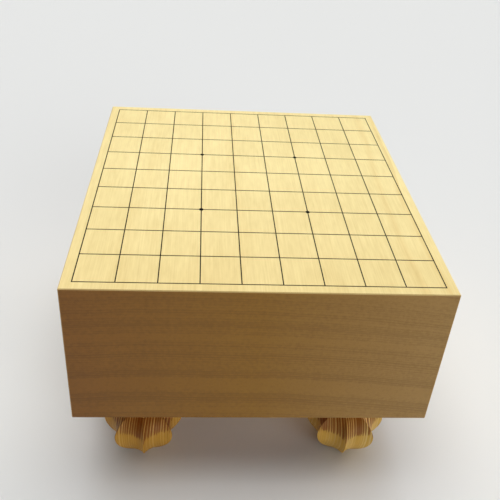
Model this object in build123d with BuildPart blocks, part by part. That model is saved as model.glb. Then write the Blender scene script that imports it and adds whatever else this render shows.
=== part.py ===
# Legged shogi board: a solid block of wood that stands on four carved legs.
#
# Units are millimetres. The origin is on the floor, under the middle of the block. +Z is up, X runs
# across the board, and Y runs from the near player (-Y) to the far one (+Y), along the wood's grain.
#
# The block carries nine by nine squares in raised lacquer. Its underside has a square mortise near
# each corner and a carved navel between them. Each leg is one piece of wood, carved as a gardenia
# fruit: a flared collar, a narrow neck and a ribbed pod with a broad shoulder. A square tenon on top
# of it sits in the mortise, and draws straight down out of it.
from math import cos, pi, sin
import os

from build123d import *

# Block
board_width = 333.0
board_length = 364.0
board_thickness = 152.0
edge_bevel = 0.8

# Lacquered grid: squares each way, and the bare wood between the outer line and the block's edge
squares = 9
margin = 9.3
line_width = 1.0
lacquer_height = 0.2
star_diameter = 3.4
squares_to_star = 3

# Legs: where their centres stand, and how far each is turned from square, fitted by hand
leg_height = 100.0
leg_inset_x = 60.0
leg_inset_y = 56.0
leg_turns = {
    "leg_front_left": 4.0,
    "leg_front_right": -8.0,
    "leg_back_left": -3.0,
    "leg_back_right": 5.0,
}

# Carving: the heights above the floor where its outline changes, and the radius over the ridges there
ridges = 8
belly_height = 39.5
shoulder_height = 55.0
neck_height = 70.0
foot_radius = 16.0
belly_radius = 40.4
shoulder_radius = 18.5
neck_radius = 18.5
collar_radius = 29.0

# Carving: the radius in the middle of a flute, as a share of the radius over the ridges
foot_hollow = 0.86
belly_hollow = 0.78
neck_hollow = 0.92
collar_hollow = 0.96

# Joint between leg and block
tenon_side = 26.0
tenon_length = 26.0
tenon_bevel = 1.5
tenon_clearance = 0.05
mortise_end_gap = 2.0

# Navel: a square recess with a ledge round its mouth and a pyramid that hangs from its ceiling
navel_side = 96.0
navel_ledge_width = 6.0
navel_ledge_depth = 4.0
navel_depth = 30.0
peak_drop = 5.0
peak_side = 2.0

# What follows from the sizes above
underside = leg_height
board_top = leg_height + board_thickness
grid_width = board_width - 2 * margin
grid_length = board_length - 2 * margin
square_width = (grid_width - line_width) / squares
square_length = (grid_length - line_width) / squares
leg_x = board_width / 2 - leg_inset_x
leg_y = board_length / 2 - leg_inset_y
leg_places = {
    "leg_front_left": (-leg_x, -leg_y),
    "leg_front_right": (leg_x, -leg_y),
    "leg_back_left": (-leg_x, leg_y),
    "leg_back_right": (leg_x, leg_y),
}
star_x = (squares / 2 - squares_to_star) * square_width
star_y = (squares / 2 - squares_to_star) * square_length
star_places = {
    "star_front_left": (-star_x, -star_y),
    "star_front_right": (star_x, -star_y),
    "star_back_left": (-star_x, star_y),
    "star_back_right": (star_x, star_y),
}

# Block, with its mortises and its navel
mortise_side = tenon_side + 2 * tenon_clearance
mortise_depth = tenon_length + mortise_end_gap
recess_side = navel_side - 2 * navel_ledge_width

with BuildPart() as board_block:
    with BuildSketch(Plane.XY.offset(underside)):
        Rectangle(board_width, board_length)
    extrude(amount=board_thickness)
    chamfer(board_block.edges(), length=edge_bevel)
    with BuildSketch(Plane.XY.offset(underside)):
        with Locations(*leg_places.values()):
            Rectangle(mortise_side, mortise_side)
    extrude(amount=mortise_depth, mode=Mode.SUBTRACT)
    with BuildSketch(Plane.XY.offset(underside)):
        Rectangle(navel_side, navel_side)
    extrude(amount=navel_ledge_depth, mode=Mode.SUBTRACT)
    with BuildSketch(Plane.XY.offset(underside)):
        Rectangle(recess_side, recess_side)
    extrude(amount=navel_depth, mode=Mode.SUBTRACT)
    with Locations((0, 0, underside + navel_depth)):
        Wedge(
            xsize=recess_side,
            ysize=navel_depth - peak_drop,
            zsize=recess_side,
            xmin=recess_side / 2 - peak_side / 2,
            xmax=recess_side / 2 + peak_side / 2,
            zmin=recess_side / 2 - peak_side / 2,
            zmax=recess_side / 2 + peak_side / 2,
            rotation=(-90, 0, 0),
            align=(Align.CENTER, Align.MIN, Align.CENTER),
        )


def blend(start, end, share):
    return start + (end - start) * share


# Carving, as (height, radius over the ridges, hollow). The pod swells from the foot to the belly and
# turns in over a round shoulder. The neck narrows above it and flares out into the collar.
steps = 5
pod = []
for step in range(steps + 1):
    rise = step / steps
    swell = blend(foot_radius, belly_radius, sin(rise * pi / 2))
    pod.append((rise * belly_height, swell, blend(foot_hollow, belly_hollow, rise)))
for step in range(1, steps + 1):
    turn = step / steps * pi / 2
    height = blend(belly_height, shoulder_height, sin(turn))
    pod.append((height, blend(shoulder_radius, belly_radius, cos(turn)), belly_hollow))

neck_steps = 3
neck = [(shoulder_height, shoulder_radius, belly_hollow)]
for step in range(neck_steps + 1):
    rise = step / neck_steps
    flare = blend(neck_radius, collar_radius, rise**2)
    neck.append((blend(neck_height, leg_height, rise), flare, blend(neck_hollow, collar_hollow, rise)))

# Legs, each lofted through fluted sections, with its tenon on top. A section is a ring of hollow arcs
# that meet on the ridges.
pitch = 360 / ridges
legs = {}
for name, place in leg_places.items():
    with BuildPart() as leg:
        for sections in (pod, neck):
            for height, radius, hollow in sections:
                crest = Vector(radius, 0)
                dip = Vector(radius * hollow, 0)
                with BuildSketch(Plane((*place, height)).rotated((0, 0, leg_turns[name]))):
                    with BuildLine():
                        for angle in [ridge * pitch for ridge in range(ridges)]:
                            ThreePointArc(
                                crest.rotate(Axis.Z, angle),
                                dip.rotate(Axis.Z, angle + pitch / 2),
                                crest.rotate(Axis.Z, angle + pitch),
                            )
                    make_face()
            loft()
        with BuildSketch(Plane.XY.offset(leg_height)):
            with Locations(place):
                Rectangle(tenon_side, tenon_side)
        extrude(amount=tenon_length)
        tenon_tip = leg.faces().sort_by(Axis.Z)[-1]
        chamfer(tenon_tip.edges(), length=tenon_bevel)
    legs[name] = leg.part

# Lacquer: one net of lines, with a round hole where each star point sits
with BuildPart() as lacquer_grid:
    with BuildSketch(Plane.XY.offset(board_top)):
        with GridLocations(square_width, square_length, squares + 1, 1):
            Rectangle(line_width, grid_length)
        with GridLocations(square_width, square_length, 1, squares + 1):
            Rectangle(grid_width, line_width)
        with Locations(*star_places.values()):
            Circle(star_diameter / 2, mode=Mode.SUBTRACT)
    extrude(amount=lacquer_height)

# Star points: four dots of the same lacquer, on the corners of the middle nine squares
stars = {}
for name, place in star_places.items():
    with BuildPart() as star:
        with BuildSketch(Plane.XY.offset(board_top)):
            with Locations(place):
                Circle(star_diameter / 2)
        extrude(amount=lacquer_height)
    stars[name] = star.part

os.makedirs("parts", exist_ok=True)
pieces = {"board_block": board_block.part, "lacquer_grid": lacquer_grid.part, **legs, **stars}
for name, piece in pieces.items():
    piece.label = name
    export_step(piece, f"parts/{name}.step")
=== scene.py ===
# %% [markdown]
# A legged shogi board, finished in Blender
#
# The real thing is a thick block of pale yellow conifer wood on four legs, carved like the fruit
# of the gardenia. Nine by nine squares are drawn on its top in black lacquer, and each leg's
# tenon sits in a mortise in its underside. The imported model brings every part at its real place,
# in metres: the origin is on the floor under the block, Z is up, and Y runs away from the near
# player, along the block's grain. Loading it first fixes the sizes, so that this script only has
# to add form, finish and light.

# %% Load the fixed frame
import math

import bmesh
import bpy
from mathutils import Matrix, Vector, noise


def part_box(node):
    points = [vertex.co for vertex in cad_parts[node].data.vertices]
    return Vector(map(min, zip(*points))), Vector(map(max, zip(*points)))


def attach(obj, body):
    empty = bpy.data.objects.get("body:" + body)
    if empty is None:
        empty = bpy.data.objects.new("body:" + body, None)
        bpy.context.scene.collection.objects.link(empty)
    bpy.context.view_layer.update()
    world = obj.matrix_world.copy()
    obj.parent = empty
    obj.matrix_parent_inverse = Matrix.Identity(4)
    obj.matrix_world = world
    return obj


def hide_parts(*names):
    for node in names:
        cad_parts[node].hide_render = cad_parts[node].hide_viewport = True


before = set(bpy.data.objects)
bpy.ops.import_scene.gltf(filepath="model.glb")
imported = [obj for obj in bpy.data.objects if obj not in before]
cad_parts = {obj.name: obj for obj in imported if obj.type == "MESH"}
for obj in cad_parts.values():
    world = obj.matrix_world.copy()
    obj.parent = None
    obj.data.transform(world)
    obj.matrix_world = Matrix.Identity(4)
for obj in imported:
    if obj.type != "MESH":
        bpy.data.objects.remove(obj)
scene = bpy.context.scene
mm = 0.001
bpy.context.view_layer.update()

# %% [markdown]
# The camera
#
# The board is seen from a standing player's place: close, from above, a little to the left of the
# middle. So the block's sides lean in strongly towards the bottom. Aiming a camera by hand would
# take many tries. The corners of the block and of the squares fix it instead: an eye point, a
# point that it looks at, a roll and a focal length. The shift slides the picture without turning
# the camera.

# %% Place the camera
eye = Vector((-55.72, -599.19, 594.90)) * mm
aim = Vector((-2.68, 15.11, 212.0)) * mm
roll = math.radians(4.07)

lens = bpy.data.cameras.new("standing_view")
lens.sensor_width = 36.0
lens.lens = 47.34
lens.shift_x = 0.008
lens.shift_y = -0.088
camera = bpy.data.objects.new("standing_view", lens)
gaze = (aim - eye).to_track_quat("-Z", "Y").to_matrix().to_4x4()
camera.matrix_world = Matrix.Translation(eye) @ gaze @ Matrix.Rotation(roll, 4, "Z")
scene.collection.objects.link(camera)
scene.camera = camera
down = math.asin((eye - aim).normalized().z)
print("camera looks down by", round(math.degrees(down), 1), "degrees")

# %% [markdown]
# From a bmesh to a piece
#
# Each new shape is worked out in a bmesh, Blender's workbench for meshes, and then handed over to
# an object. Curved faces are shaded smooth, but a carved ridge has to stay crisp. Marking the
# edges where two faces meet at a clear angle does both, and it stays with the mesh wherever it
# goes.

# %% A helper that turns a bmesh into a piece
crisp_angle = math.radians(32)


def make_piece(name, bm, body, *stands_for):
    bmesh.ops.recalc_face_normals(bm, faces=bm.faces)
    for face in bm.faces:
        face.smooth = True
    for edge in bm.edges:
        edge.smooth = edge.is_manifold and edge.calc_face_angle() < crisp_angle
    mesh = bpy.data.meshes.new(name)
    bm.to_mesh(mesh)
    bm.free()
    piece = bpy.data.objects.new(name, mesh)
    scene.collection.objects.link(piece)
    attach(piece, body)
    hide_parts(*stands_for)
    print(name, "has", len(mesh.vertices), "vertices and", len(mesh.polygons), "faces")
    return piece


# %% [markdown]
# The outline of a leg
#
# A carver turns or saws a round blank first: a small foot, a pod that swells to its belly, a
# shoulder that rolls in under the block, a narrow neck and a collar that flares out against the
# underside. Such a blank is one outline spun round its axis. The outline is a list of heights and
# radii over the ridges, and it also says how deep the flutes are there: 1 is a round section and
# smaller is deeper.

# %% Draw the outline
foot_radius = 16.0
belly_radius = 40.4
shoulder_radius = 18.5
neck_radius = 18.5
collar_radius = 29.0
belly_height = 39.5
shoulder_height = 55.0
neck_height = 70.0
collar_height = 100.0
foot_hollow = 0.86
belly_hollow = 0.78
neck_hollow = 0.92
collar_hollow = 0.96
pod_steps = 24
shoulder_steps = 12
waist_steps = 5
flare_steps = 12


def blend(start, end, share):
    return start + (end - start) * share


outline = []
for step in range(pod_steps + 1):
    rise = step / pod_steps
    swell = blend(foot_radius, belly_radius, math.sin(rise * math.pi / 2))
    outline.append((rise * belly_height, swell, blend(foot_hollow, belly_hollow, rise)))
for step in range(1, shoulder_steps + 1):
    turn = step / shoulder_steps * math.pi / 2
    height = blend(belly_height, shoulder_height, math.sin(turn))
    outline.append((height, blend(shoulder_radius, belly_radius, math.cos(turn)), belly_hollow))
for step in range(1, waist_steps + 1):
    rise = step / waist_steps
    height = blend(shoulder_height, neck_height, rise)
    waist = blend(shoulder_radius, neck_radius, rise)
    outline.append((height, waist, blend(belly_hollow, neck_hollow, rise)))
for step in range(1, flare_steps + 1):
    rise = step / flare_steps
    height = blend(neck_height, collar_height, rise)
    flare = blend(neck_radius, collar_radius, rise**2)
    outline.append((height, flare, blend(neck_hollow, collar_hollow, rise)))
print("outline of", len(outline), "points, widest", 2 * max(point[1] for point in outline), "mm")

# %% [markdown]
# Spinning and fluting a leg
#
# The outline is spun into a blank, and then each point is pushed in towards the axis by the depth
# of its flute. Between two ridges the flute is an arc of a circle, which leaves eight sharp
# ridges. A slow wave of a fifth of a millimetre keeps the surface from looking machined. It fades
# out towards the ridges, so that they stay where they are.

# %% Two tools: spin a blank and carve its flutes
ridges = 8
columns = 12
hand_wave = 0.2
wave_size = 18.0
pitch = 2 * math.pi / ridges


def spin_blank(bm):
    points = [bm.verts.new((radius * mm, 0, height * mm)) for height, radius, _ in outline]
    edges = [bm.edges.new(pair) for pair in zip(points, points[1:])]
    turn = {"axis": (0, 0, 1), "cent": (0, 0, 0), "angle": 2 * math.pi, "steps": ridges * columns}
    bmesh.ops.spin(bm, geom=points + edges, use_merge=True, use_duplicate=False, **turn)


def flute_reach(hollow, angle):
    half = pitch / 2
    centre = (1 - hollow**2) / (2 * (math.cos(half) - hollow))
    rest = math.sqrt((hollow - centre) ** 2 - (centre * math.sin(angle)) ** 2)
    return centre * math.cos(angle) - math.copysign(rest, centre - hollow)


def carve_flutes(bm, seed):
    for vert in bm.verts:
        hollow = min(outline, key=lambda point: abs(point[0] * mm - vert.co.z))[2]
        off_middle = math.atan2(vert.co.y, vert.co.x) % pitch - pitch / 2
        reach = flute_reach(hollow, off_middle)
        wave = noise.noise(vert.co / (wave_size * mm) + Vector((seed, 0, 0))) * hand_wave * mm
        across = Vector((vert.co.x, vert.co.y, 0))
        vert.co -= across * (1 - reach) - across.normalized() * wave * (1 - reach) / (1 - hollow)


print("flutes are", round(belly_radius * (1 - belly_hollow), 1), "mm deep at the belly")

# %% [markdown]
# Worn ridges and a tenon
#
# Thumbs wear a ridge, so a sliver is bevelled off all eight. The tenon is a box that loses its
# lower face: its rim is cut into as many edges as the collar has, and the two rims are bridged,
# so that the leg is one closed skin like one piece of wood. The tenon is turned back by the leg's
# own turn, because the mortises are square with the block.

# %% Two tools: wear the ridges and add the tenon
ridge_wear = 0.45
ridge_tolerance = 0.001
tenon_side = 26.0
tenon_length = 26.0
tenon_bevel = 1.5
bevel = {"profile": 0.5, "affect": "EDGES", "material": -1}


def wear_ridges(bm):
    def on_ridge(vert):
        from_middle = abs(math.atan2(vert.co.y, vert.co.x) / pitch % 1 - 0.5)
        return from_middle > 0.5 - ridge_tolerance

    crests = [e for e in bm.edges if on_ridge(e.verts[0]) and on_ridge(e.verts[1])]
    bmesh.ops.bevel(bm, geom=crests, offset=ridge_wear * mm, segments=2, **bevel)


def add_tenon(bm, turn):
    top = collar_height * mm
    rim = [e for e in bm.edges if e.is_boundary and e.verts[0].co.z > top / 2]
    foot = [e for e in bm.edges if e.is_boundary and e.verts[0].co.z < top / 2]
    bmesh.ops.contextual_create(bm, geom=foot)
    middle = top + tenon_length * mm / 2
    size = Matrix.Diagonal((tenon_side * mm, tenon_side * mm, tenon_length * mm, 1))
    place = Matrix.Rotation(-turn, 4, "Z") @ Matrix.Translation((0, 0, middle))
    made = bmesh.ops.create_cube(bm, size=1, matrix=place @ size)["verts"]
    tip = [v for v in made if v.co.z > middle]
    lower = [v for v in made if v not in tip]
    tip_edges = [e for e in bm.edges if e.verts[0] in tip and e.verts[1] in tip]
    lower_face = [f for f in bm.faces if all(v in lower for v in f.verts)]
    bmesh.ops.delete(bm, geom=lower_face, context="FACES_ONLY")
    bmesh.ops.bevel(bm, geom=tip_edges, offset=tenon_bevel * mm, segments=1, **bevel)
    base = [e for e in bm.edges if e.is_boundary and e.verts[0] in lower]
    bmesh.ops.subdivide_edges(bm, edges=base, cuts=len(rim) // 4 - 1)
    base = [e for e in bm.edges if e.is_boundary and e not in rim]
    bmesh.ops.bridge_loops(bm, edges=rim + base)


print("each ridge loses", ridge_wear, "mm, and a tenon is", tenon_side, "mm square")

# %% [markdown]
# Four legs
#
# The tools are used in turn on each leg, round the origin, and then the leg is moved to the place
# of its CAD node. A carver sets each leg by eye, so they aren't turned alike. Each has its own
# stretch of the wave.

# %% Carve the four legs
leg_turns = {"front_left": 4, "front_right": -8, "back_left": -3, "back_right": 5}
seed_step = 10

leg_pieces = []
for seed, (corner, degrees) in enumerate(leg_turns.items()):
    node = "leg_" + corner
    low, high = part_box(node)
    turn = math.radians(degrees)
    bm = bmesh.new()
    spin_blank(bm)
    carve_flutes(bm, seed * seed_step)
    wear_ridges(bm)
    add_tenon(bm, turn)
    middle = Matrix.Translation(((low.x + high.x) / 2, (low.y + high.y) / 2, 0))
    bmesh.ops.transform(bm, matrix=middle @ Matrix.Rotation(turn, 4, "Z"), verts=bm.verts)
    leg_pieces.append(make_piece("carved_" + node, bm, node, node))

# %% [markdown]
# The lacquer lines
#
# On a good board the lines are drawn with the edge of a blade or a strip of cloth dipped in
# lacquer, and each one stands up as a thin rounded thread. A grid with one more square all round
# gives the net: every square is inset by half a line and its middle is thrown away, which leaves
# one line's width along each edge. Four cuts take off what reaches past the outer lines. Real
# lines are about 1 mm wide. In a render of this size that looks pale, so they are drawn wider, as
# dark as they are to the eye.

# %% Draw the net flat
squares = 9
real_line_width = 1.0
line_width = 1.4
net_low, net_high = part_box("lacquer_grid")
block_low, block_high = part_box("board_block")
square_width = (net_high.x - net_low.x - real_line_width * mm) / squares
square_length = (net_high.y - net_low.y - real_line_width * mm) / squares

bm = bmesh.new()
outer = squares + 2
size = Matrix.Diagonal((outer * square_width, outer * square_length, 1, 1))
place = Matrix.Translation((0, 0, block_high.z)) @ size
bmesh.ops.create_grid(bm, x_segments=outer, y_segments=outer, size=0.5, matrix=place)
middles = list(bm.faces)
bmesh.ops.inset_individual(bm, faces=middles, thickness=line_width * mm / 2)
bmesh.ops.delete(bm, geom=middles, context="FACES")
for point, outwards in (
    (net_low, (-1, 0, 0)),
    (net_low, (0, -1, 0)),
    (net_high, (1, 0, 0)),
    (net_high, (0, 1, 0)),
):
    geom = bm.verts[:] + bm.edges[:] + bm.faces[:]
    bmesh.ops.bisect_plane(bm, geom=geom, plane_co=point, plane_no=outwards, clear_outer=True)
print("squares of", round(square_width / mm, 2), "by", round(square_length / mm, 2), "mm")

# %% [markdown]
# Raising the lines
#
# The flat net is extruded upwards by a fifth of a millimetre, and keeps its lower faces, so that
# it is closed. Then the edges round its upper face are bevelled, because a film of lacquer draws
# itself round at its rim. They are found by height: they belong to a wall and lie in its upper
# half.

# %% Raise the net and round its rim
line_height = 0.2
rim_share = 0.9

raised = bmesh.ops.extrude_face_region(bm, geom=bm.faces[:], use_keep_orig=True)["geom"]
raised_verts = [g for g in raised if isinstance(g, bmesh.types.BMVert)]
bmesh.ops.translate(bm, verts=raised_verts, vec=(0, 0, line_height * mm))
upper = block_high.z + line_height * mm / 2
walls = [f for f in bm.faces if abs(f.normal.z) < 0.5]
rim = {e for f in walls for e in f.edges if all(v.co.z > upper for v in e.verts)}
bmesh.ops.bevel(bm, geom=list(rim), offset=line_height * mm * rim_share, segments=2, **bevel)
lines = make_piece("lacquer_lines", bm, "block", "lacquer_grid")

# %% [markdown]
# The star points
#
# Four dots of the same lacquer mark where the middle nine squares begin. A drop that dries on
# wood is a flat dome. A squashed sphere that is cut through its middle and closed underneath has
# that form. The dots are drawn wider than real ones too, so that they still stand out from the
# lines.

# %% Drop the four dots
dot_width = 4.4
dot_height = 0.3

dots = []
for corner in leg_turns:
    node = "star_" + corner
    low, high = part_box(node)
    middle = Vector(((low.x + high.x) / 2, (low.y + high.y) / 2, low.z))
    size = Matrix.Diagonal((dot_width * mm, dot_width * mm, 2 * dot_height * mm, 1))
    place = Matrix.Translation(middle) @ size
    bm = bmesh.new()
    bmesh.ops.create_uvsphere(bm, u_segments=32, v_segments=16, radius=0.5, matrix=place)
    geom = bm.verts[:] + bm.edges[:] + bm.faces[:]
    below = {"plane_co": middle, "plane_no": (0, 0, -1), "clear_outer": True}
    cut = bmesh.ops.bisect_plane(bm, geom=geom, **below)["geom_cut"]
    bmesh.ops.contextual_create(bm, geom=[g for g in cut if isinstance(g, bmesh.types.BMEdge)])
    dots.append(make_piece("lacquer_dot_" + corner, bm, "block", node))

# %% [markdown]
# Colours and nodes
#
# Colours are written as they look on a screen, and turned to the linear numbers that light needs.
# A pattern is given by its size in millimetres, but a noise wants to know how many of it a metre
# holds. Two more functions start a material, and add a node that is set up and linked in one go,
# so that a material reads from top to bottom like a recipe. An input is called by its name or,
# where names repeat, by its place: 0, 1 and 2 in a Math node, 1 to 4 for what a Map Range maps
# from and to, or 7 to 10 where it maps three numbers at once, and 0, 6 and 7 for a Mix node's
# share and its two colours.

# %% Four helpers for materials


def linear(code):
    parts = [int(code[i : i + 2], 16) / 255 for i in (1, 3, 5)]
    return [p / 12.92 if p <= 0.04045 else ((p + 0.055) / 1.055) ** 2.4 for p in parts] + [1.0]


def per(size):
    return 1 / (size * mm)


def add_node(tree, kind, inputs=None, stops=(), **settings):
    node = tree.nodes.new("ShaderNode" + kind)
    for name, value in settings.items():
        setattr(node, name, value)
    for position, _ in stops[1:-1]:
        node.color_ramp.elements.new(position)
    for index, (_, colour) in enumerate(stops):
        node.color_ramp.elements[index].color = colour
    for name, value in (inputs or {}).items():
        if isinstance(value, bpy.types.NodeSocket):
            tree.links.new(value, node.inputs[name])
        else:
            node.inputs[name].default_value = value
    return node


def start_material(name):
    material = bpy.data.materials.new(name)
    material.use_nodes = True
    tree = material.node_tree
    return material, tree, tree.nodes["Principled BSDF"], add_node(tree, "TexCoord").outputs


print("a tone of #808080 is", round(linear("#808080")[0], 3), "in linear light")

# %% [markdown]
# The wood
#
# The wood is kaya, a slow-grown nutmeg yew, planed and rubbed with wax. What the eye sees depends
# on how a face cuts the tree: along the grain it is pale yellow with faint streaks, and across
# it, on the end grain, it drinks the wax and turns brown. A picture wrapped round the block could
# not agree at the corners. So the tree itself is described, and each face shows its own cut
# through it. All its patterns but the rings are noises stretched along the grain, with a width
# and a length in millimetres. Real fibres are far thinner than a millimetre, and are drawn as
# coarse as they need to be to show.

# %% Stretch a noise along the grain
fibre_width, fibre_length = 0.9, 71.4
cell_width, cell_length = 3.6, 18.0
blotch_width, blotch_length = 29.4, 55.6


def grain_noise(tree, place, along, width, length, **settings):
    across = Vector((1, 1, 1)) - along
    scale = across * per(width) + along * per(length)
    stretched = add_node(tree, "Mapping", {0: place, "Scale": scale})
    noise_inputs = {"Vector": stretched.outputs[0], "Scale": 1, **settings}
    return add_node(tree, "TexNoise", noise_inputs).outputs


print("fibres are", round(fibre_length / fibre_width), "times as long as they are wide")

# %% [markdown]
# The rings
#
# Rings are shells round the pith. Its line wanders by a few millimetres, slowly along the grain,
# so space is bent by a noise first. The distance from the pith over the spacing counts the years,
# and a noise of that distance alone makes them fat or lean. A year runs from pale early wood to a
# dark late line. No two years are equally dark, and broad bands of them are darker than others.
# Kaya's rings are 1 to 2.5 mm apart. They are drawn 2.6 mm apart, because closer ones don't show
# in the render.

# %% Grow the rings
wander_width, wander_length, wander_reach = 111.0, 400.0, 7.0
fat_and_lean_width = 16.667
band_width = 18.182
late_line = ((0.0, 0.3), (0.1, 0.0), (0.6, 0.18), (0.9, 1.0), (1.0, 0.45))
faintest_year = 0.4
band_contrast = 0.8
band_range = {1: 0.35, 2: 0.65}


def measure_from_pith(tree, place, along, pith):
    across = Vector((1, 1, 1)) - along
    wander = grain_noise(tree, place, along, wander_width, wander_length, Detail=2)["Color"]
    centred = add_node(tree, "VectorMath", {0: wander, 1: (0.5, 0.5, 0.5)}, operation="SUBTRACT")
    reach = {0: centred.outputs[0], "Scale": wander_reach * mm}
    offset = add_node(tree, "VectorMath", reach, operation="SCALE")
    bent = add_node(tree, "VectorMath", {0: place, 1: offset.outputs[0]}, operation="ADD")
    out = add_node(tree, "VectorMath", {0: bent.outputs[0], 1: pith}, operation="SUBTRACT")
    flat = add_node(tree, "VectorMath", {0: out.outputs[0], 1: across}, operation="MULTIPLY")
    radius = add_node(tree, "VectorMath", {0: flat.outputs[0]}, operation="LENGTH")
    return bent.outputs[0], radius.outputs["Value"]


def grow_rings(tree, radius, spacing, unevenness):
    years, bands = [
        add_node(
            tree, "TexNoise", {"W": radius, "Scale": per(width), "Detail": 3}, noise_dimensions="1D"
        ).outputs[0]
        for width in (fat_and_lean_width, band_width)
    ]
    count = add_node(tree, "Math", {0: radius, 1: per(spacing)}, operation="MULTIPLY")
    stretched = {0: years, 1: unevenness, 2: count.outputs[0]}
    uneven = add_node(tree, "Math", stretched, operation="MULTIPLY_ADD").outputs[0]
    season = add_node(tree, "Math", {0: uneven}, operation="FRACT")
    stops = [(position, (level, level, level, 1)) for position, level in late_line]
    late = add_node(tree, "ValToRGB", {0: season.outputs[0]}, stops=stops)
    year = add_node(tree, "Math", {0: uneven}, operation="FLOOR")
    chance = add_node(tree, "TexWhiteNoise", {"W": year.outputs[0]}, noise_dimensions="1D")
    weight = {0: chance.outputs["Value"], 1: 1 - faintest_year, 2: faintest_year}
    year_share = add_node(tree, "Math", weight, operation="MULTIPLY_ADD")
    contrast = {3: 1 - band_contrast, 4: 1 + band_contrast}
    band_share = add_node(tree, "MapRange", {0: bands, **band_range, **contrast})
    ring = late.outputs[0]
    for share in (year_share, band_share):
        weighed = {0: ring, 1: share.outputs[0]}
        ring = add_node(tree, "Math", weighed, operation="MULTIPLY").outputs[0]
    return bands, ring


print("late wood is darkest at", late_line[3][0], "of a year")

# %% [markdown]
# Where a face cuts the grain
#
# How squarely a face cuts the grain is the dot product of its normal and the grain's direction.
# It decides between the pale tones and the brown ones. On the block both ends of the grain are
# brown. On the legs only faces that look up the grain get the brown: end grain, and painted shade
# from the block above. Where a carved face turns from long grain to end grain, the brown creeps
# along the fibres, so that edge is ragged. On end grain the wax blurs single rings. Bands of them
# show as well, and specks where it soaked in.

# %% Find the end grain, and the painted shade on the legs
noise_range = {1: 0.3, 2: 0.7}


def end_grain_and_shade_share(tree, normal, along, fibre, ring, cut_range, both_ends, ragged):
    facing = add_node(tree, "VectorMath", {0: normal, 1: along}, operation="DOT_PRODUCT")
    cut = facing.outputs["Value"]
    # With both ends, faces looking either way along the grain get the brown; without, only faces
    # looking up it, which on the legs is painted shade from the block above as well as end grain.
    if both_ends:
        cut = add_node(tree, "Math", {0: cut}, operation="ABSOLUTE").outputs[0]
    frayed = add_node(tree, "Math", {0: fibre, 1: ring}, operation="SUBTRACT")
    edge = {0: frayed.outputs[0], 1: ragged, 2: cut}
    cut = add_node(tree, "Math", edge, operation="MULTIPLY_ADD")
    low, high = cut_range
    return add_node(tree, "MapRange", {0: cut.outputs[0], 1: low, 2: high}).outputs[0]


def end_ring_share(tree, bands, cells, ring, crispness, softness, speckle):
    dense = add_node(tree, "MapRange", {0: bands, **band_range, 3: 0, 4: softness})
    specks = add_node(tree, "MapRange", {0: cells, **noise_range, 3: -speckle, 4: speckle})
    soaked = add_node(tree, "Math", {0: dense.outputs[0], 1: specks.outputs[0]}, operation="ADD")
    blurred = {0: ring, 1: crispness, 2: soaked.outputs[0]}
    return add_node(tree, "Math", blurred, operation="MULTIPLY_ADD").outputs[0]


print("a noise keeps between", noise_range[1], "and", noise_range[2], "nearly everywhere")

# %% [markdown]
# The tones of the wood
#
# The tones across the tree run from -X, redder like the heart, to +X, paler and greyer like the
# sap side. Part of that is painted light: the +X side is lightened and greyed as light and sheen
# from the right would do it. Each place on the way has a tone for the wood and one for its rings.
# The near half of the long grain carries painted shade: it darkens a little towards the front edge,
# as the light from behind falls off there. Last, each noise lightens or darkens the wood by a few
# percent, and the dark parts come out a little warmer than the light ones, as in real wood. Each
# share of lightness is mapped to a share of red, green and blue for that.

# %% Mix its tones
# Painted light in part: the tones lighten and grey towards +X as light and sheen from the right
# would make them, and in part follow heart and sap wood.
sap_and_light_range = {3: 0.05, 4: 0.95}
# Painted shade for light from behind falling off: it starts this many millimetres behind the middle
# and is deepest at the near edge.
painted_shade_from = 20.0
light_spread = 0.1
tone_spread = Vector((0.08, 0.1, 0.15))
multiply = {"data_type": "RGBA", "blend_type": "MULTIPLY"}


def tones_across(tree, sap_and_light_share, tones, ring_tones, share):
    ramps = []
    for tone_set in (tones, ring_tones):
        stops = [(step / 2, linear(tone)) for step, tone in enumerate(tone_set)]
        ramps.append(add_node(tree, "ValToRGB", {0: sap_and_light_share}, stops=stops).outputs[0])
    mixed = add_node(tree, "Mix", {0: share, 6: ramps[0], 7: ramps[1]}, data_type="RGBA")
    return mixed.outputs[2]


# Painted shade: darkens the tone towards the near edge, in place of light from behind that falls
# off towards the front.
def paint_shade_on_near_half(tree, y, tone, near_shade_tone):
    near = add_node(tree, "MapRange", {0: y, 1: painted_shade_from * mm, 2: block_low.y})
    inputs = {0: near.outputs[0], 6: tone, 7: linear(near_shade_tone)}
    return add_node(tree, "Mix", inputs, **multiply).outputs[2]


def streak(tree, tone, noises, amounts):
    level = 1.0
    for pattern, amount in zip(noises, amounts):
        spread = {3: 1 - amount, 4: 1 + amount}
        share = add_node(tree, "MapRange", {0: pattern, **noise_range, **spread}).outputs[0]
        level = add_node(tree, "Math", {0: level, 1: share}, operation="MULTIPLY").outputs[0]
    even = Vector((1, 1, 1))
    levels = {7: even * (1 - light_spread), 8: even * (1 + light_spread)}
    tints = {9: even - tone_spread, 10: even + tone_spread}
    settings = {"data_type": "FLOAT_VECTOR", "clamp": False}
    warmed = add_node(tree, "MapRange", {6: level, **levels, **tints}, **settings).outputs[1]
    return add_node(tree, "VectorMath", {0: tone, 1: warmed}, operation="MULTIPLY").outputs[0]


print("a tenth more light adds", [round(part, 2) for part in tone_spread], "in red, green, blue")

# %% [markdown]
# From a tree to a material
#
# Now the patterns and the tones come together. Hard late wood stands up a few hundredths of a
# millimetre once the plane has passed, and dry fibres are duller than waxed ones, so bump and
# roughness follow the same rings and fibres as the colour.

# %% Put the wood together
plane_marks = 0.06
ring_relief = 0.5
wood_ior = 1.5


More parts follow.
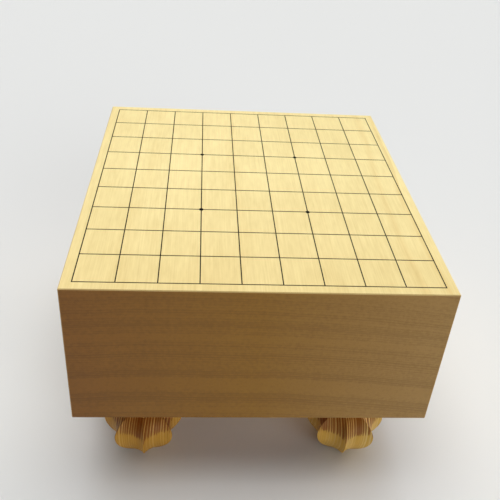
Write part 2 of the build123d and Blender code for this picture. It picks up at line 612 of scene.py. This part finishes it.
def wood(name, along, pith, rings, long_grain, end_grain_and_shade, end_rings, streaks, gloss):
    material, tree, surface, place = start_material(name)
    along = Vector(along)
    bent, radius = measure_from_pith(tree, place["Object"], along, pith)
    bands, ring = grow_rings(tree, radius, **rings)
    fibre = grain_noise(tree, bent, along, fibre_width, fibre_length, Detail=2)[0]
    cells = grain_noise(tree, bent, along, cell_width, cell_length, Detail=3)[0]
    blotch = {"width": blotch_width, "length": blotch_length, "Detail": 6, "Roughness": 0.6}
    drift = grain_noise(tree, place["Object"], along, **blotch)[0]

    side = add_node(tree, "SeparateXYZ", {0: place["Object"]}).outputs
    # The share towards +X: partly sap wood, partly painted light and sheen from the right.
    sap_and_light_inputs = {0: side["X"], 1: block_low.x, 2: block_high.x, **sap_and_light_range}
    sap_and_light_share = add_node(tree, "MapRange", sap_and_light_inputs).outputs[0]
    long_tone = tones_across(tree, sap_and_light_share, long_grain["tones"], long_grain["rings"], ring)
    long_tone = paint_shade_on_near_half(tree, side["Y"], long_tone, long_grain["near_shade_tone"])
    end_ring = end_ring_share(tree, bands, cells, ring, **end_rings)
    end_and_shade_tone = tones_across(tree, sap_and_light_share, end_grain_and_shade["tones"], end_grain_and_shade["rings"], end_ring)
    share = end_grain_and_shade_share(tree, place["Normal"], along, fibre, ring, **end_grain_and_shade["cut"])
    tone = add_node(tree, "Mix", {0: share, 6: long_tone, 7: end_and_shade_tone}, data_type="RGBA")
    shaded = streak(tree, tone.outputs[2], (bands, fibre, drift, cells), streaks)
    tree.links.new(shaded, surface.inputs["Base Color"])

    height = add_node(tree, "Math", {0: ring, 1: ring_relief, 2: fibre}, operation="MULTIPLY_ADD")
    relief = {"Height": height.outputs[0], "Distance": plane_marks * mm, "Strength": 1.0}
    bump = add_node(tree, "Bump", relief)
    tree.links.new(bump.outputs[0], surface.inputs["Normal"])
    waxed, dry = gloss["roughness"]
    dryness = add_node(tree, "MapRange", {0: fibre, **noise_range, 3: waxed, 4: dry})
    tree.links.new(dryness.outputs[0], surface.inputs["Roughness"])
    surface.inputs["IOR"].default_value = wood_ior
    surface.inputs["Specular IOR Level"].default_value = gloss["mirror"]
    print(name, "has", len(tree.nodes), "nodes")
    return material


# %% [markdown]
# Block and legs from the same kind of tree
#
# The block was sawn far from the pith, so its rings lie almost flat on the near face. Its end
# tones go from red-brown at -X to grey-tan at +X: partly the heart and the sap side of the tree,
# partly painted light and sheen from the right. The legs stand with their grain upright. Their
# shoulders are painted dark brown with pale stripes, as end grain and as painted shade from the
# block above: only faces that look up get it. The pods below are golden, and the legs on the
# right are paler, by the same heart-to-sap change and painted light from the right.

# %% Mix the two woods
block_wood = wood(
    "kaya_planed_and_waxed",
    along=(0, 1, 0),
    pith=(-0.06, 0, -1.5),
    rings={"spacing": 2.6, "unevenness": 3.5},
    long_grain={
        "tones": ("#FFEAA8", "#FFEAA8", "#FBE7A5"),
        "rings": ("#F7DD98", "#F7DD98", "#F3DA95"),
        # The tone of the painted shade at the near edge.
        "near_shade_tone": "#F5F1EA",
    },
    end_grain_and_shade={
        # End tones from -X to +X; the paler, greyer +X end is partly painted light and sheen from
        # the right.
        "tones": ("#84541B", "#956920", "#AC864C"),
        "rings": ("#724714", "#825919", "#96723D"),
        "cut": {"cut_range": (0.25, 0.95), "both_ends": True, "ragged": 0.0},
    },
    end_rings={"crispness": 0.65, "softness": 0.5, "speckle": 0.45},
    streaks=(0.035, 0.045, 0.042, 0.04),
    gloss={"roughness": (0.45, 0.58), "mirror": 0.3},
)
leg_wood = wood(
    "kaya_carved_end_up",
    along=(0, 0, 1),
    pith=(-2.0, 0, 0),
    rings={"spacing": 2.6, "unevenness": 2.0},
    long_grain={
        # Golden tones from -X to +X; the paler legs at +X are partly painted light from the right.
        "tones": ("#B88024", "#C69133", "#D8AD4E"),
        "rings": ("#CFA04E", "#D9B063", "#E8CB86"),
        "near_shade_tone": "#FFFFFF",
    },
    end_grain_and_shade={
        # Dark brown for faces that look up: end grain, and painted shade from the block above.
        "tones": ("#8C4D13", "#8F4F16", "#975D1F"),
        "rings": ("#EAB965", "#F6CB77", "#FFDD8C"),
        "cut": {"cut_range": (0.36, 0.52), "both_ends": False, "ragged": 0.5},
    },
    end_rings={"crispness": 1.0, "softness": 0.0, "speckle": 0.0},
    streaks=(0.04, 0.08, 0.05, 0.04),
    gloss={"roughness": (0.45, 0.58), "mirror": 0.2},
)
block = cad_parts["board_block"]
block.data.materials.clear()
block.data.materials.append(block_wood)
for piece in leg_pieces:
    piece.data.materials.append(leg_wood)

# %% [markdown]
# The sides and the underside, with painted shade
#
# The sides are tinted a warmer, darker yellow than the top: painted shade, because they get less
# light than the top. The underside and the ceiling of the navel are painted darker and redder,
# with a slow mottle: painted shade under the block. Both tones multiply the wood's own colour by
# where the normal points, so the grain stays and they need no edges of their own.

# %% Paint shade on the sides and on what looks down
# Painted shade: a warmer, darker tint for the sides, which get less light than the top.
side_shade_tone = "#FFF3DF"
# Painted shade: darker, redder tones for the underside and the navel's ceiling, mottled by a slow
# noise.
underside_shade_tones = ("#A98268", "#BF9A7E")
mottle_size = 11.11
turns_down = {1: -0.3, 2: -0.6}
turns_sideways = {1: 0.3, 2: 0.9}

tree = block_wood.node_tree
surface = tree.nodes["Principled BSDF"]
waxed = surface.inputs["Base Color"].links[0].from_socket
place = add_node(tree, "TexCoord").outputs
normal = add_node(tree, "SeparateXYZ", {0: place["Normal"]}).outputs
off_middle = add_node(tree, "Math", {0: normal["X"]}, operation="ABSOLUTE")
sideways = add_node(tree, "MapRange", {0: off_middle.outputs[0], **turns_sideways})
sides = {0: sideways.outputs[0], 6: waxed, 7: linear(side_shade_tone)}
side_shaded = add_node(tree, "Mix", sides, **multiply)
mottle_inputs = {"Vector": place["Object"], "Scale": per(mottle_size), "Detail": 4}
underside_mottle = add_node(tree, "TexNoise", mottle_inputs)
underside_shade_inputs = {0: underside_mottle.outputs[0], 6: linear(underside_shade_tones[0]), 7: linear(underside_shade_tones[1])}
underside_shade = add_node(tree, "Mix", underside_shade_inputs, data_type="RGBA")
downward = add_node(tree, "MapRange", {0: normal["Z"], **turns_down})
underside = {0: downward.outputs[0], 6: side_shaded.outputs[2], 7: underside_shade.outputs[2]}
mixed = add_node(tree, "Mix", underside, **multiply)
tree.links.new(mixed.outputs[2], surface.inputs["Base Color"])
print("the block's wood now has", len(tree.nodes), "nodes")

# %% [markdown]
# The lacquer
#
# Urushi is tree sap that hardens to a deep, almost black film with a soft gloss. A line is so
# narrow that its rounded rims are most of it, and they would mirror the bright studio and turn it
# grey. So its mirror share is kept low and its roughness middling. A waviness of a few
# millimetres breaks up the highlights on the dots.

# %% Mix the lacquer
lacquer_tones = ("#080604", "#140F0A")
pool_size = 2.5
pool_depth = 0.03
lacquer_ior = 1.54
lacquer_mirror = 0.05
lacquer_roughness = {3: 0.4, 4: 0.5}

lacquer, tree, film, place = start_material("urushi_lacquer_black")
film.inputs["IOR"].default_value = lacquer_ior
film.inputs["Specular IOR Level"].default_value = lacquer_mirror
pool_inputs = {"Vector": place["Object"], "Scale": per(pool_size), "Detail": 2}
pool = add_node(tree, "TexNoise", pool_inputs).outputs[0]
tints = {0: pool, 6: linear(lacquer_tones[0]), 7: linear(lacquer_tones[1])}
tint = add_node(tree, "Mix", tints, data_type="RGBA")
tree.links.new(tint.outputs[2], film.inputs["Base Color"])
gloss = add_node(tree, "MapRange", {0: pool, **noise_range, **lacquer_roughness})
tree.links.new(gloss.outputs[0], film.inputs["Roughness"])
ripple = add_node(tree, "Bump", {"Height": pool, "Distance": pool_depth * mm, "Strength": 1.0})
tree.links.new(ripple.outputs[0], film.inputs["Normal"])
for piece in [lines, *dots]:
    piece.data.materials.append(lacquer)
print("lacquer on", 1 + len(dots), "pieces")

# %% [markdown]
# The paper
#
# The board stands on matt white paper that fills the view. Paper scatters nearly all of its
# light, so it has no gloss at all, and its pulp is only just uneven.

# %% Lay the paper
paper_tones = ("#E4E4E2", "#E6E6E4")
pulp_size = 1.111
paper_roughness = 0.9
paper_half_width = 6.0

paper, tree, surface, place = start_material("matt_white_paper")
surface.inputs["Roughness"].default_value = paper_roughness
surface.inputs["Specular IOR Level"].default_value = 0.0
pulp_inputs = {"Vector": place["Object"], "Scale": per(pulp_size), "Detail": 2}
pulp = add_node(tree, "TexNoise", pulp_inputs)
tints = {0: pulp.outputs[0], 6: linear(paper_tones[0]), 7: linear(paper_tones[1])}
tint = add_node(tree, "Mix", tints, data_type="RGBA")
tree.links.new(tint.outputs[2], surface.inputs["Base Color"])

bm = bmesh.new()
bmesh.ops.create_grid(bm, x_segments=1, y_segments=1, size=paper_half_width)
mesh = bpy.data.meshes.new("paper_floor")
bm.to_mesh(mesh)
bm.free()
mesh.materials.append(paper)
floor = bpy.data.objects.new("paper_floor", mesh)
scene.collection.objects.link(floor)
print("paper", 2 * paper_half_width, "m wide")

# %% [markdown]
# The light
#
# The top is bright, the near face is half as bright, and the paper under the block is darker
# still, with no hard edge anywhere. So most of the light is broad and comes from above, from
# behind and from the left. One lamp behind on the right leaves the near face in its own shade,
# and two weak ones low down reach in under the block. All are white or nearly so, but for the
# last, which is warm like light thrown back by the wood. Sun lamps with a wide angle light the
# paper evenly however far it reaches. Their shares add up to about one with that of the pale tent
# round the scene, so that a level surface shows its colour about as it is written.

# %% Hang the lamps
lamps = {
    # the share of the light, the height, bearing and spread in degrees, and the tint
    "overhead": (0.35, 90, 0, 48, (0.98, 1, 1.02)),
    "above_behind": (0.17, 70, 90, 50, (0.97, 1, 1.05)),
    "above_left": (0.195, 77, 180, 40, (1.04, 1, 0.94)),
    "behind_right": (0.125, 50, 45, 60, (0.96, 1, 1.05)),
    "low_front_right": (0.095, 20, -60, 40, (0.95, 1, 1.03)),
    "low_right": (0.045, 20, 30, 40, (1.25, 1, 0.75)),
}
for name, (share, height, bearing, spread, tint) in lamps.items():
    height, bearing = math.radians(height), math.radians(bearing)
    towards = Vector((0, 0, 1)) * math.sin(height)
    towards += Vector((math.cos(bearing), math.sin(bearing), 0)) * math.cos(height)
    lamp = bpy.data.lights.new(name, "SUN")
    lamp.angle = math.radians(spread)
    lamp.color = tint
    lamp.energy = share * math.pi / math.sin(height)
    holder = bpy.data.objects.new(name, lamp)
    holder.matrix_world = towards.to_track_quat("Z", "Y").to_matrix().to_4x4()
    scene.collection.objects.link(holder)
print("the lamps' shares add up to", round(sum(share for share, *_ in lamps.values()), 3))

# %% [markdown]
# The tent
#
# In a small studio a pale tent hangs round the table. Its own light only fills the shadows, but
# the camera should see it as bright as the paper. Light Path tells a ray from the camera from all
# others, so the tent can be dim for the object and pale for the eye, and no light is added for
# the sake of the background.

# %% Put up the tent
tent_share = 0.05
tent_tint = (0.9, 1, 1.15)
tent_seen = "#E8E8E6"

tent = bpy.data.worlds.new("pale_tent")
tent.use_nodes = True
scene.world = tent
tree = tent.node_tree
glow = tree.nodes["Background"]
rays = add_node(tree, "LightPath").outputs
dim = [tent_share * part for part in tent_tint] + [1]
seen = add_node(
    tree, "Mix", {0: rays["Is Camera Ray"], 6: dim, 7: linear(tent_seen)}, data_type="RGBA"
)
tree.links.new(seen.outputs[2], glow.inputs["Color"])
scene.view_settings.view_transform = "Standard"
print("the tent adds a share of", tent_share)
